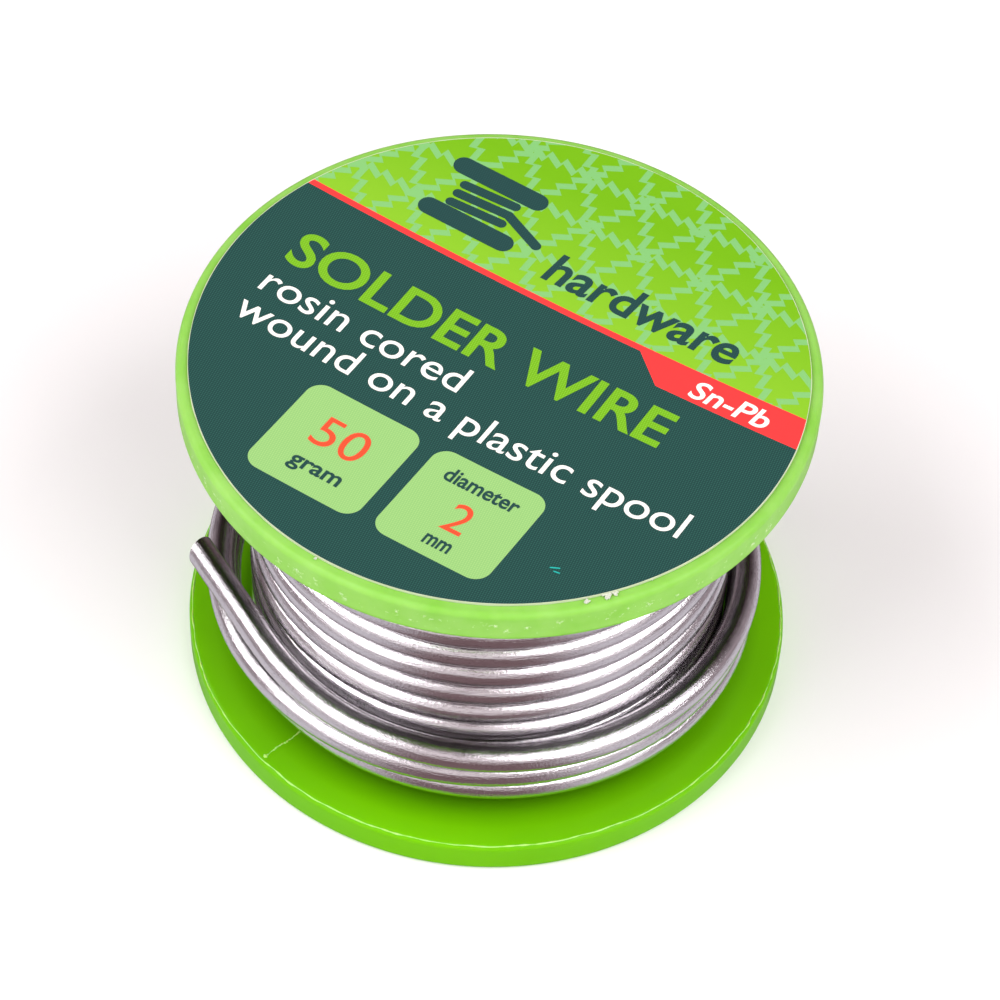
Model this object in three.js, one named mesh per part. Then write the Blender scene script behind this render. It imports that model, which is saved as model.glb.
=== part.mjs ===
// A small spool of rosin-cored solder wire.
//
// Millimetres, +Z up. The spool's axis is Z, the origin is the centre of the face that it stands on,
// and +X runs along the lines of print on the label.
//
// The spool is one moulding. One length of wire is wound on it: an inner layer from the bottom to the
// top, a second layer back down, and a few loose outer turns that climb again to the free end.

import * as THREE from "three";

// Spool: two flanges on a hollow hub, open below and closed above.
const SPOOL_HEIGHT = 28;
const FLANGE_RADIUS = 21;
const FLANGE_THICKNESS = 2.5;
const FLANGE_EDGE_RADIUS = 0.4;
const HUB_RADIUS = 12.4;
const HUB_WALL = 1.5;
const HUB_FILLET_RADIUS = 0.4;
const WEB_THICKNESS = 2;
const TOP_DISH = 0.7; // how far the closed end sinks at its middle, where the moulding shrank
const DISH_RINGS = 6;
const BORE_DRAFT = 0.2; // the bore is this much narrower, on the radius, at its closed end
const MOUTH_CHAMFER = 0.5;
const SPOOL_SEGMENTS = 64;
const ARC_SEGMENTS = 1;

// Label: a paper disc on the upper flange.
const LABEL_MARGIN = 0.8; // from the label's edge to the flange's rim
const LABEL_THICKNESS = 0.2;

// Wire: solder with a core of rosin.
const WIRE_DIAMETER = 2;
const CORE_DIAMETER = 0.82;
const WIRE_SIDES = 8;
const STATIONS_PER_TURN = 24;

// Clearances between things that touch, which also take up the flats of the many-sided turns.
const WIRE_TO_FLANGE = 0.05;
const WIRE_TO_HUB = 0.15;
const LAYER_TO_LAYER = 0.05;
const TURN_TO_TURN = 0.03;
const STRETCH_TO_STRETCH = 0.3;
const CORE_TO_WIRE = 0.06;

// Winding. Angles are in degrees and seen from above. The wire runs clockwise on its way outwards.
// Lengths along the winding are in turns, counted from the place where the wire leaves the second
// layer: inwards is negative, and outwards is positive.
const LIFT_OFF_ANGLE = 71.6;
const TOP_CLIMB = 1 / 12; // from the inner layer to the second, under the upper flange
const BOTTOM_CLIMB = 1 / 8; // from the second layer to the outer turns, on the lower flange
const CLIMB_OUT_BY = 0.72; // the share of the bottom climb by which the wire has moved out
const CLIMB_UP_FROM = 0.36; // the share of the bottom climb from which it rises
const FIRST_OUTER_RISE = 1.2; // how far the outer turns start above the second layer's last turn
const TAIL_BEND_AT = 2.485; // where the free end is bent outwards
const TAIL_STRAIGHT_AT = 2.521; // where the free end runs off the winding in a straight line
const TAIL_STRAIGHT_LENGTH = 8.8;
const TAIL_RISE_FROM = 2.3;
const TAIL_RISE = 0.45;

// How far the outer turns stand off the second layer, as [turns, millimetres] on a smooth curve.
const LOOSENESS = [
  [BOTTOM_CLIMB, 0],
  [0.47, 0],
  [0.62, 0.65],
  [0.8, 0.35],
  [1.1, 0],
  [1.345, 0.38],
  [1.47, 0.78],
  [1.55, 1],
  [1.62, 0.95],
  [1.87, 0.35],
  [2.05, 0.02],
  [2.22, 0.52],
  [2.43, 0.75],
  [TAIL_STRAIGHT_AT, 0.45],
];

const wireRadius = WIRE_DIAMETER / 2;
const lowestTurn = FLANGE_THICKNESS + WIRE_TO_FLANGE + wireRadius;
const highestTurn = SPOOL_HEIGHT - FLANGE_THICKNESS - WIRE_TO_FLANGE - wireRadius;
const innerRadius = HUB_RADIUS + WIRE_TO_HUB + wireRadius;
const secondRadius = innerRadius + WIRE_DIAMETER + LAYER_TO_LAYER;
const outerRadius = secondRadius + WIRE_DIAMETER + LAYER_TO_LAYER;

// Each layer has as many turns as fit between the flanges, in whole stations.
const closestPitch = WIRE_DIAMETER + TURN_TO_TURN;
const layerStations = Math.floor(((highestTurn - lowestTurn) / closestPitch) * STATIONS_PER_TURN);
const layerTurns = layerStations / STATIONS_PER_TURN;
const layerPitch = (highestTurn - lowestTurn) / layerTurns;
const wireStart = -2 * layerTurns - TOP_CLIMB;

// A smooth curve through points of [x, y], read at x. It is level at its ends and at each crest and
// dip, so it never runs past its points.
function smoothThrough(points, x) {
  let i = 0;
  while (i < points.length - 2 && x > points[i + 1][0]) {
    i += 1;
  }
  const rise = (k) => (points[k + 1][1] - points[k][1]) / (points[k + 1][0] - points[k][0]);
  const slope = (k) => {
    if (k === 0 || k === points.length - 1 || rise(k - 1) * rise(k) <= 0) {
      return 0;
    }
    return (2 * rise(k - 1) * rise(k)) / (rise(k - 1) + rise(k));
  };
  const [x0, y0] = points[i];
  const [x1, y1] = points[i + 1];
  const width = x1 - x0;
  const t = THREE.MathUtils.clamp((x - x0) / width, 0, 1);
  const fromLeft = y0 * (1 + 2 * t) + slope(i) * width * t;
  const fromRight = y1 * (3 - 2 * t) - slope(i + 1) * width * (1 - t);
  return fromLeft * (1 - t) ** 2 + fromRight * t ** 2;
}

// The wire's distance from the axis, at a place given in turns.
function windingRadius(turn) {
  if (turn < -layerTurns) {
    const climb = THREE.MathUtils.smoothstep(turn, -layerTurns - TOP_CLIMB, -layerTurns);
    return THREE.MathUtils.lerp(innerRadius, secondRadius, climb);
  }
  if (turn < 0) {
    return secondRadius;
  }
  const stepOut = THREE.MathUtils.smoothstep(turn, 0, CLIMB_OUT_BY * BOTTOM_CLIMB);
  const seat = THREE.MathUtils.lerp(secondRadius, outerRadius, stepOut);
  return seat + smoothThrough(LOOSENESS, turn);
}

// The wire's height, at a place given in turns.
function windingHeight(turn) {
  if (turn < -layerTurns) {
    const fromStart = Math.min(turn - wireStart, layerTurns);
    return lowestTurn + layerPitch * fromStart;
  }
  if (turn < 0) {
    return lowestTurn - layerPitch * turn;
  }
  const stepUp = THREE.MathUtils.smoothstep(turn, CLIMB_UP_FROM * BOTTOM_CLIMB, BOTTOM_CLIMB);
  const helix = closestPitch * Math.max(turn - BOTTOM_CLIMB, 0);
  const tailRise = TAIL_RISE * THREE.MathUtils.smoothstep(turn, TAIL_RISE_FROM, tailEnd);
  return lowestTurn + FIRST_OUTER_RISE * stepUp + helix + tailRise;
}

// The angle, in radians, at a place given in turns.
function windingAngle(turn) {
  return THREE.MathUtils.degToRad(LIFT_OFF_ANGLE - 360 * turn);
}

// The straight end is laid off along the turn that it leaves, so its length is in turns as well.
const tailRadius = windingRadius(TAIL_STRAIGHT_AT);
const tailEnd = TAIL_STRAIGHT_AT + TAIL_STRAIGHT_LENGTH / (2 * Math.PI * tailRadius);

// The wire's centre line, at a place given in turns.
function wirePoint(turn) {
  const onWinding = Math.min(turn, TAIL_STRAIGHT_AT);
  const angle = windingAngle(onWinding);
  const radius = windingRadius(onWinding);
  const straight = (turn - onWinding) * 2 * Math.PI * tailRadius;
  return new THREE.Vector3(
    radius * Math.cos(angle) + straight * Math.sin(angle),
    radius * Math.sin(angle) - straight * Math.cos(angle),
    windingHeight(turn),
  );
}

// A stretch of the wire's centre line, with its stations at equal angles, so that the flats of each
// layer lie over those of the layer below.
class WireStretch extends THREE.Curve {
  constructor(from, to) {
    super();
    this.from = from;
    this.to = to;
  }

  getPoint(t) {
    return wirePoint(THREE.MathUtils.lerp(this.from, this.to, t));
  }

  getUtoTmapping(u) {
    return u;
  }
}

// A many-sided ring of points for the wire's section.
function sectionPoints(radius) {
  return Array.from({ length: WIRE_SIDES }, (_, i) => {
    const angle = ((i + 0.5) * 2 * Math.PI) / WIRE_SIDES;
    return new THREE.Vector2(radius * Math.cos(angle), radius * Math.sin(angle));
  });
}

function sweep(section, from, to) {
  return new THREE.ExtrudeGeometry(section, {
    steps: Math.max(2, Math.round((to - from) * STATIONS_PER_TURN)),
    bevelEnabled: false,
    extrudePath: new WireStretch(from, to),
  });
}

// Half the gap between two stretches of wire, in turns, where they meet at a place given in turns.
function halfGap(turn) {
  return STRETCH_TO_STRETCH / 2 / (2 * Math.PI * windingRadius(turn));
}

// Solid wire from one place to another, cut back a little where it meets the next stretch.
function wireStretch(from, to) {
  const start = from === wireStart ? from : from + halfGap(from);
  return sweep(new THREE.Shape(sectionPoints(wireRadius)), start, to - halfGap(to));
}

// The free end, where the cut wire shows its core.
const tailStart = TAIL_BEND_AT + halfGap(TAIL_BEND_AT);

function tailWire() {
  const section = new THREE.Shape(sectionPoints(wireRadius));
  section.holes.push(new THREE.Path(sectionPoints(CORE_DIAMETER / 2)));
  return sweep(section, tailStart, tailEnd);
}

function tailCore() {
  const section = new THREE.Shape(sectionPoints(CORE_DIAMETER / 2 - CORE_TO_WIRE));
  return sweep(section, tailStart, tailEnd);
}

// The dished top of the spool, from the label's edge in to the axis, and raised by a height above it.
function dishedTop(above) {
  const labelRadius = FLANGE_RADIUS - LABEL_MARGIN;
  return Array.from({ length: DISH_RINGS + 1 }, (_, i) => {
    const share = 1 - i / DISH_RINGS;
    return new THREE.Vector2(labelRadius * share, SPOOL_HEIGHT + above - TOP_DISH * (1 - share ** 2));
  });
}

// The spool's section, from the axis under the web, down the bore and round both flanges.
function spoolProfile() {
  const quarter = Math.PI / 2;
  const boreRadius = HUB_RADIUS - HUB_WALL;
  const rim = FLANGE_RADIUS - FLANGE_EDGE_RADIUS;
  const hub = HUB_RADIUS + HUB_FILLET_RADIUS;
  const lowerFace = FLANGE_THICKNESS;
  const upperFace = SPOOL_HEIGHT - FLANGE_THICKNESS;
  const boreEnd = SPOOL_HEIGHT - TOP_DISH - WEB_THICKNESS;
  const profile = new THREE.Path();
  profile.moveTo(0, boreEnd);
  profile.lineTo(boreRadius - BORE_DRAFT, boreEnd);
  profile.lineTo(boreRadius, MOUTH_CHAMFER);
  profile.lineTo(boreRadius + MOUTH_CHAMFER, 0);
  profile.lineTo(rim, 0);
  profile.absarc(rim, FLANGE_EDGE_RADIUS, FLANGE_EDGE_RADIUS, -quarter, 0);
  profile.absarc(rim, lowerFace - FLANGE_EDGE_RADIUS, FLANGE_EDGE_RADIUS, 0, quarter);
  profile.absarc(hub, lowerFace + HUB_FILLET_RADIUS, HUB_FILLET_RADIUS, -quarter, -2 * quarter, true);
  profile.absarc(hub, upperFace - HUB_FILLET_RADIUS, HUB_FILLET_RADIUS, 2 * quarter, quarter, true);
  profile.absarc(rim, upperFace + FLANGE_EDGE_RADIUS, FLANGE_EDGE_RADIUS, -quarter, 0);
  profile.absarc(rim, SPOOL_HEIGHT - FLANGE_EDGE_RADIUS, FLANGE_EDGE_RADIUS, 0, quarter);
  return [...profile.getPoints(ARC_SEGMENTS), ...dishedTop(0)];
}

function spool() {
  return new THREE.LatheGeometry(spoolProfile(), SPOOL_SEGMENTS).rotateX(Math.PI / 2);
}

function label() {
  const profile = [...dishedTop(0).reverse(), ...dishedTop(LABEL_THICKNESS)];
  return new THREE.LatheGeometry(profile, SPOOL_SEGMENTS).rotateX(Math.PI / 2);
}

const limePlastic = { color: 0x86d020, roughness: 0.35, metalness: 0 };
const printedPaper = { color: 0x2c5250, roughness: 0.5, metalness: 0 };
const brightSolder = { color: 0xc4c2c4, roughness: 0.25, metalness: 1 };
const rosin = { color: 0xb87a2a, roughness: 0.4, metalness: 0 };

const assembly = new THREE.Group();

function add(name, geometry, finish) {
  const mesh = new THREE.Mesh(geometry, new THREE.MeshStandardMaterial(finish));
  mesh.name = name;
  assembly.add(mesh);
}

add("spool_body", spool(), limePlastic);
add("front_label", label(), printedPaper);
add("wire_inner_layer", wireStretch(wireStart, -layerTurns), brightSolder);
add("wire_second_layer", wireStretch(-layerTurns, 0), brightSolder);
add("wire_outer_turns", wireStretch(0, TAIL_BEND_AT), brightSolder);
add("wire_tail", tailWire(), brightSolder);
add("rosin_core", tailCore(), rosin);

export default assembly;
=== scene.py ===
"""A small spool of rosin-cored solder wire, dressed for rendering round its fixed frame.

Sizes are in millimetres, as on a drawing, and meshes are in metres. The spool's axis is Z, its lower
flange stands on the floor at Z 0, and +X runs along the lines of print on the label.
"""

from __future__ import annotations

import logging
import math
from collections.abc import Callable, Sequence
from dataclasses import dataclass, field
from enum import Enum

import bpy
import numpy as np
from mathutils import Matrix

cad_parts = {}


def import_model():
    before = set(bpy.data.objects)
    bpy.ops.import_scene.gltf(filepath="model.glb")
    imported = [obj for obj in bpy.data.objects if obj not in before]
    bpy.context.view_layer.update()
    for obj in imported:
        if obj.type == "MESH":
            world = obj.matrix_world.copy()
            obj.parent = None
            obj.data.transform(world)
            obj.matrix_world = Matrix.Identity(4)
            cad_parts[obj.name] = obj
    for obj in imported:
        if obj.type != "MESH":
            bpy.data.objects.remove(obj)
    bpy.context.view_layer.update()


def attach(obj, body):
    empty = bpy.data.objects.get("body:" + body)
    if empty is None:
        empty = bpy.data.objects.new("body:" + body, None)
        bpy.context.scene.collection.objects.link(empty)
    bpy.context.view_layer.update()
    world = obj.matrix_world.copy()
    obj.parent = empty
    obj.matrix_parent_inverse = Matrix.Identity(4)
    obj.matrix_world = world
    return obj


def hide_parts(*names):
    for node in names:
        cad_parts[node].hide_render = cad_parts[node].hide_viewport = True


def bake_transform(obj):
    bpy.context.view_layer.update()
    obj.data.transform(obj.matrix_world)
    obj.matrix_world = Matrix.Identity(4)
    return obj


LOG = logging.getLogger("solder_spool")
MM = 0.001
SHARP_ANGLE = math.radians(35)
FULL_TURN = 2 * math.pi
UP = np.array([0.0, 0.0, 1.0])
FLAT = (1.0, 1.0, 0.0)

Array = np.ndarray
Tree = bpy.types.NodeTree
Node = bpy.types.Node
# The numbers of one node, in the order of its inputs. A noise has its waves a millimetre, its octaves
# and what each octave keeps of the one before. A ramp has its input's two ends and its output's.
Settings = tuple[float, ...]


class Body(Enum):
    """The bodies of the frame."""

    SPOOL = "spool"
    TAIL = "tail"


class Slot(Enum):
    """The record's material slots."""

    SPOOL = "spool"
    LABEL = "label"
    WIRE = "wire"
    ROSIN = "rosin"


# Shapes


def smooth_step(x: Array, low: float, high: float) -> Array:
    """Rises smoothly from 0 at low to 1 at high: t * t * (3 - 2 t), where t is x's share of the way."""
    t = np.clip((x - low) / (high - low), 0, 1)
    return t * t * (3 - 2 * t)


@dataclass(frozen=True)
class Ripple:
    """A smooth, closed, seeded wobble round a circle: a sum of cosines, each with a random phase and a
    random size over its number of waves to the power of the slope."""

    seed: int
    finest: int
    slope: float

    def at(self, angle: Array) -> Array:
        """Gives the wobble at angles in radians.

        Args:
            angle: The angles.

        Returns:
            Values of about -1 to 1.
        """
        random = np.random.default_rng(self.seed)
        waves = np.arange(1, self.finest + 1)
        size = random.normal(size=self.finest) / waves**self.slope
        phase = random.uniform(0, FULL_TURN, self.finest)
        total = (size * np.cos(np.multiply.outer(angle, waves) + phase)).sum(-1)
        return total / np.sqrt((size**2).sum())


def show(name: str, data: bpy.types.ID) -> bpy.types.Object:
    """Puts a mesh, curve, light or camera into the scene, at the origin.

    Args:
        name: Name of the object.
        data: What it holds.

    Returns:
        The new object.
    """
    made = bpy.data.objects.new(name, data)
    bpy.context.scene.collection.objects.link(made)
    return made


def make_mesh(name: str, points: Array, faces: Sequence[Sequence[int]], uv: Array | None = None) -> bpy.types.Object:
    """Makes a smooth-shaded object with its faces turned outwards.

    The signed volume is the sum over the faces' triangles of a . (b x c) / 6. Where it is negative, every
    face is reversed.

    Args:
        name: Name of the object.
        points: Corner positions, (n, 3), in millimetres.
        faces: Corner indices of each face.
        uv: Optional UV position for each corner of each face, in the order of the faces.

    Returns:
        The new object.
    """
    fan = np.array([(f[0], f[i], f[i + 1]) for f in faces for i in range(1, len(f) - 1)])
    a, b, c = (points[fan[:, i]] for i in range(3))
    if np.einsum("ij,ij->", a, np.cross(b, c)) < 0:
        faces = [tuple(reversed(f)) for f in faces]
        if uv is not None:
            starts = np.cumsum([0] + [len(f) for f in faces])
            uv = np.concatenate([uv[s:e][::-1] for s, e in zip(starts[:-1], starts[1:])])
    mesh = bpy.data.meshes.new(name)
    mesh.from_pydata((points * MM).tolist(), [], [tuple(int(i) for i in f) for f in faces])
    if uv is not None:
        mesh.uv_layers.new(name="surface").uv.foreach_set("vector", uv.astype(np.float32).ravel())
    mesh.shade_smooth()
    mesh.set_sharp_from_angle(angle=SHARP_ANGLE)
    return show(name, mesh)


def grid_faces(rows: int, columns: int) -> tuple[Array, Array]:
    """The faces of a grid that closes on itself round its columns and has a fan at both ends.

    Args:
        rows: Number of rings.
        columns: Points in a ring. The first end's point and the last's follow those of the rings.

    Returns:
        Corner indices of the quads, ring by ring, and of the fans' triangles, the first fan first.
    """
    here = np.arange(columns)
    after = np.roll(here, -1)
    row = (np.arange(rows - 1) * columns)[:, None]
    quads = np.stack([row + here, row + after, row + columns + after, row + columns + here], -1)
    end, last = rows * columns, (rows - 1) * columns
    first_fan = np.stack([np.full(columns, end), after, here], -1)
    last_fan = np.stack([np.full(columns, end + 1), last + here, last + after], -1)
    return quads.reshape(-1, 4), np.concatenate([first_fan, last_fan])


def revolve(name: str, radius: Array, height: Array) -> bpy.types.Object:
    """Turns a profile about Z. A point is (radius cos angle, radius sin angle, height), where column j
    stands at the angle 2 pi j / m, and each end is one point on the axis.

    Args:
        name: Name of the object.
        radius: Distances from the axis, (n, m), in millimetres, for the points between the two ends.
        height: Heights, (n + 2, m), in millimetres, with the two ends.

    Returns:
        The closed surface.
    """
    rows, columns = radius.shape
    angle = np.arange(columns) * FULL_TURN / columns
    ring = np.stack([radius * np.cos(angle), radius * np.sin(angle), height[1:-1]], -1).reshape(-1, 3)
    ends = np.array([[0, 0, height[0].mean()], [0, 0, height[-1].mean()]])
    quads, fans = grid_faces(rows, columns)
    return make_mesh(name, np.concatenate([ring, ends]), [*quads.tolist(), *fans.tolist()])


def sweep(
    name: str, centre: Array, tangent: Array, section: Array, sides: int, cut: Callable[[Array], Array] | None = None
) -> bpy.types.Object:
    """Carries a round section along a path, and closes both ends with a fan.

    At each station the section lies square to the tangent: centre + section (outward cos a + across sin
    a), where outward points away from Z and across is tangent x outward. The seam of the UV map, which is
    in millimetres along and round the path, faces the axis.

    Args:
        name: Name of the object.
        centre: The path's points, (n, 3), in millimetres.
        tangent: The path's unit directions, (n, 3).
        section: The section's radius at each station, (n,).
        sides: Number of points in the section.
        cut: Optional function that moves the rings, such as onto the plane of a cut.

    Returns:
        The closed tube.
    """
    away = centre * FLAT
    away -= tangent * (away * tangent).sum(-1, keepdims=True)
    outward = away / np.linalg.norm(away, axis=-1, keepdims=True)
    across = np.cross(tangent, outward)
    angle = math.pi + np.arange(sides) * FULL_TURN / sides
    spoke = outward[:, None] * np.cos(angle)[:, None] + across[:, None] * np.sin(angle)[:, None]
    rings = centre[:, None] + spoke * section[:, None, None]
    if cut is not None:
        rings = cut(rings)
    points = np.concatenate([rings.reshape(-1, 3), [rings[0].mean(0), rings[-1].mean(0)]])
    quads, fans = grid_faces(len(centre), sides)
    along = np.concatenate([[0], np.cumsum(np.linalg.norm(np.diff(centre, axis=0), axis=-1))])
    step = FULL_TURN * section.max() / sides
    here = np.arange(sides)
    u0, u1 = along[:-1, None] + 0 * here, along[1:, None] + 0 * here
    v0, v1 = here * step + 0 * u0, (here + 1) * step + 0 * u0
    corners = [np.stack(pair, -1) for pair in ((u0, v0), (u0, v1), (u1, v1), (u1, v0))]
    uv = np.concatenate([np.stack(corners, 2).reshape(-1, 2), np.zeros((fans.size, 2))])
    return make_mesh(name, points, [*quads.tolist(), *fans.tolist()], uv)


def prisms(name: str, undersides: Sequence[Array], thickness: float) -> bpy.types.Object:
    """Stands a prism on each outline.

    Args:
        name: Name of the object.
        undersides: Each prism's outline from below, (n, 3), in millimetres.
        thickness: Its height, in millimetres.

    Returns:
        All the prisms as one object.
    """
    points: list[Array] = []
    faces: list[tuple[int, ...]] = []
    for low in undersides:
        count, start = len(low), sum(len(p) for p in points)
        points += [low, low + UP * thickness]
        ring = list(range(start, start + count))
        faces += [tuple(reversed(ring)), tuple(i + count for i in ring)]
        faces += [(i, j, j + count, i + count) for i, j in zip(ring, ring[1:] + ring[:1])]
    return make_mesh(name, np.concatenate(points), faces)


def settle(piece: bpy.types.Object, body: Body, slot: Slot, material: bpy.types.Material, *nodes: str) -> None:
    """Gives a piece its material and its body, and hides the CAD nodes that it stands for.

    Args:
        piece: The finished piece.
        body: The body that it rides on.
        slot: The record's slot for its finish. Not used.
        material: Its material.
        nodes: CAD nodes that it replaces.
    """
    piece.data.materials.clear()
    piece.data.materials.append(material)
    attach(piece, body.value)
    if nodes:
        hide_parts(*nodes)
    LOG.info("%s: %d faces, rides on %s", piece.name, len(piece.data.polygons), body.value)


# Finishes


def linear(colour: str) -> tuple[float, float, float, float]:
    """Turns an sRGB hex colour into linear light: below 0.04045 divide by 12.92, and above it raise
    (c + 0.055) / 1.055 to the power 2.4.

    Args:
        colour: Six hex digits after a hash sign.

    Returns:
        Linear red, green, blue and an alpha of 1.
    """
    srgb = [int(colour[i : i + 2], 16) / 255 for i in (1, 3, 5)]
    red, green, blue = (c / 12.92 if c <= 0.04045 else ((c + 0.055) / 1.055) ** 2.4 for c in srgb)
    return (red, green, blue, 1.0)


def add(tree: Tree, kind: str, *values: object, **named: object) -> Node:
    """Adds a node with its settings and its links.

    Args:
        tree: The tree that it goes into.
        kind: The node's type, and after a dot its operation or the kind of data that it mixes.
        values: What the inputs in use get, in order: a number, a vector, a hex colour, a socket, or a node,
            which stands for its first output in use.
        named: The same for inputs by their names, with _ for a space, and settings in small letters.

    Returns:
        The new node.
    """
    kind, _, choice = kind.partition(".")
    node = tree.nodes.new("ShaderNode" + kind)
    if choice:
        setattr(node, "data_type" if kind == "Mix" else "operation", choice)
    for key in [k for k in named if k.islower()]:
        setattr(node, key, named.pop(key))
    used = [socket for socket in node.inputs if socket.enabled]
    by_name = {socket.name.replace(" ", "_"): socket for socket in used}
    for socket, value in [*zip(used, values), *((by_name[key], value) for key, value in named.items())]:
        if isinstance(value, Node):
            value = next(output for output in value.outputs if output.enabled)
        if isinstance(value, bpy.types.NodeSocket):
            tree.links.new(value, socket)
        else:
            socket.default_value = linear(value) if isinstance(value, str) else value
    return node


def empty_tree(owner: bpy.types.Material | bpy.types.World) -> Tree:
    """Empties the node tree of a material or a world.

    Args:
        owner: The material or the world.

    Returns:
        Its tree.
    """
    owner.use_nodes = True
    owner.node_tree.nodes.clear()
    return owner.node_tree


def millimetres(tree: Tree) -> Node:
    """Gives Object coordinates in millimetres."""
    return add(tree, "VectorMath.SCALE", add(tree, "TexCoord").outputs["Object"], 1 / MM)


def printer_screen(tree: Tree, place: Node, pitch: float) -> Node:
    """Gives a printer's screen: rows of dots, the product of two sine waves at one pitch.

    Args:
        tree: The material's tree.
        place: Coordinates in millimetres.
        pitch: Distance between rows, in millimetres.

    Returns:
        Values from 0 to 1.
    """
    rows = []
    for direction in ((1.0, 0.2, 0.0), (-0.2, 1.0, 0.0)):
        phase = add(tree, "VectorMath.DOT_PRODUCT", place, tuple(FULL_TURN / pitch * c for c in direction))
        rows.append(add(tree, "Math.MULTIPLY_ADD", add(tree, "Math.SINE", phase), 0.5, 0.5))
    return add(tree, "Math.MULTIPLY", *rows)


@dataclass(frozen=True)
class Finish:
    """What every finish shares: a name, and a material with one Principled shader."""

    name: str

    def looks(self, tree: Tree) -> dict[str, object]:
        """Gives what the shader gets.

        Args:
            tree: The material's tree, which gets the nodes.

        Returns:
            Value, socket or node for each of the shader's inputs, by name.
        """
        raise NotImplementedError

    def build(self) -> bpy.types.Material:
        """Makes the material.

        Returns:
            The new material.
        """
        material = bpy.data.materials.new(self.name)
        tree = empty_tree(material)
        add(tree, "OutputMaterial", add(tree, "BsdfPrincipled", **self.looks(tree)))
        return material


@dataclass(frozen=True)
class MouldedPolypropylene(Finish):
    """Injection-moulded polypropylene, tinted lime and a little translucent, so thin edges glow and the
    surface has a soft sheen. Near the wire its colour is painted darker, as shade from the winding and
    the flanges. On the upper flange, where the mesh's attribute is high, a pale glare of painted light
    lies on it, and handling has left scuffs."""

    name: str = "moulded_lime_polypropylene"
    colour: str = "#70BC00"
    deep_colour: str = "#62AE00"
    clouds: Settings = (0.12, 2.0)
    # Painted shade: the colour that the plastic is darkened to near the winding.
    painted_shade_colour: str = "#3C7800"
    painted_shade: Settings = (17.0, 19.4, 0.6, 0.0)
    # Painted light: the pale glare that is painted on the upper flange.
    painted_glare_colour: str = "#BADF92"
    painted_glare: float = 0.42
    painted_glare_limit: float = 0.6
    blotches: Settings = (0.35, 3.0)
    patchy: Settings = (0.3, 0.7, 0.5, 1.0)
    scuff_colour: str = "#DDEFC6"
    marks: Settings = (1.5, 5.0, 0.72)
    scuffs: Settings = (0.585, 0.66, 0.0, 0.75)
    handled: Settings = (0.65, 0.95)
    roughness: Settings = (0.0, 1.0, 0.34, 0.64)
    skin: Settings = (0.9, 3.0)
    skin_bump: float = 0.12
    skin_depth: float = 0.1
    scuff_bump: float = 0.6
    scuff_depth: float = 0.05
    ior: float = 1.49
    sheen: float = 0.15
    translucency: float = 0.2
    scatter_depth: float = 1.5
    scatter_tint: tuple[float, float, float] = (0.7, 1.0, 0.15)

    def looks(self, tree: Tree) -> dict[str, object]:
        """Gives the shader's inputs. Where the painted glare and the scuffs lie comes from the mesh's own attribute.
        """
        place = millimetres(tree)
        clouds = add(tree, "TexNoise", place, *self.clouds)
        tone = add(tree, "Mix.RGBA", clouds, self.deep_colour, self.colour)
        reach = add(tree, "VectorMath.LENGTH", add(tree, "VectorMath.MULTIPLY", place, FLAT))
        # Painted shade: darker within a few millimetres of the winding, where the winding and the flanges shade the
        # plastic.
        tone = add(tree, "Mix.RGBA", add(tree, "MapRange", reach, *self.painted_shade), tone, self.painted_shade_colour)
        # Painted pale glare on the upper flange, where more light falls and reflects; the same attribute also places
        # the scuffs.
        glare_and_scuff_mask = add(tree, "Attribute", attribute_name="glare_and_scuffs").outputs["Fac"]
        patchy = add(tree, "MapRange", add(tree, "TexNoise", place, *self.blotches), *self.patchy)
        painted_glare = add(tree, "Math.MULTIPLY", add(tree, "Math.MINIMUM", glare_and_scuff_mask, self.painted_glare_limit), patchy)
        painted_glare = add(tree, "Math.MULTIPLY", painted_glare, self.painted_glare / self.painted_glare_limit)
        tone = add(tree, "Mix.RGBA", painted_glare, tone, self.painted_glare_colour)
        marks = add(tree, "MapRange", add(tree, "TexNoise", place, *self.marks), *self.scuffs)
        scuffed = add(tree, "Math.MULTIPLY", marks, add(tree, "MapRange", glare_and_scuff_mask, *self.handled))
        skin = add(tree, "TexNoise", place, *self.skin)
        smooth = add(tree, "Bump", Height=skin, Strength=self.skin_bump, Distance=self.skin_depth * MM)
        bump = add(
            tree, "Bump", Height=scuffed, Strength=self.scuff_bump, Distance=self.scuff_depth * MM, Normal=smooth
        )
        return {
            "Base_Color": add(tree, "Mix.RGBA", scuffed, tone, self.scuff_colour),
            "Roughness": add(tree, "MapRange", scuffed, *self.roughness),
            "Normal": bump,
            "IOR": self.ior,
            "Specular_IOR_Level": self.sheen,
            "Subsurface_Weight": self.translucency,
            "Subsurface_Radius": self.scatter_tint,
            "Subsurface_Scale": self.scatter_depth * MM,
        }


@dataclass(frozen=True)
class ThinFlash(Finish):
    """The same plastic where it is a torn skin a few hundredths thick: milky, pale and matt."""

    name: str = "thin_plastic_flash"
    colour: str = "#C6EC90"
    green_colour: str = "#96D838"
    milk: Settings = (1.5, 3.0)
    roughness: float = 0.5
    translucency: float = 0.4
    scatter_depth: float = 0.4

    def looks(self, tree: Tree) -> dict[str, object]:
        """Gives the shader's inputs."""
        milk = add(tree, "TexNoise", millimetres(tree), *self.milk)
        return {
            "Base_Color": add(tree, "Mix.RGBA", milk, self.colour, self.green_colour),
            "Roughness": self.roughness,
            "Subsurface_Weight": self.translucency,
            "Subsurface_Scale": self.scatter_depth * MM,
        }


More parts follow.
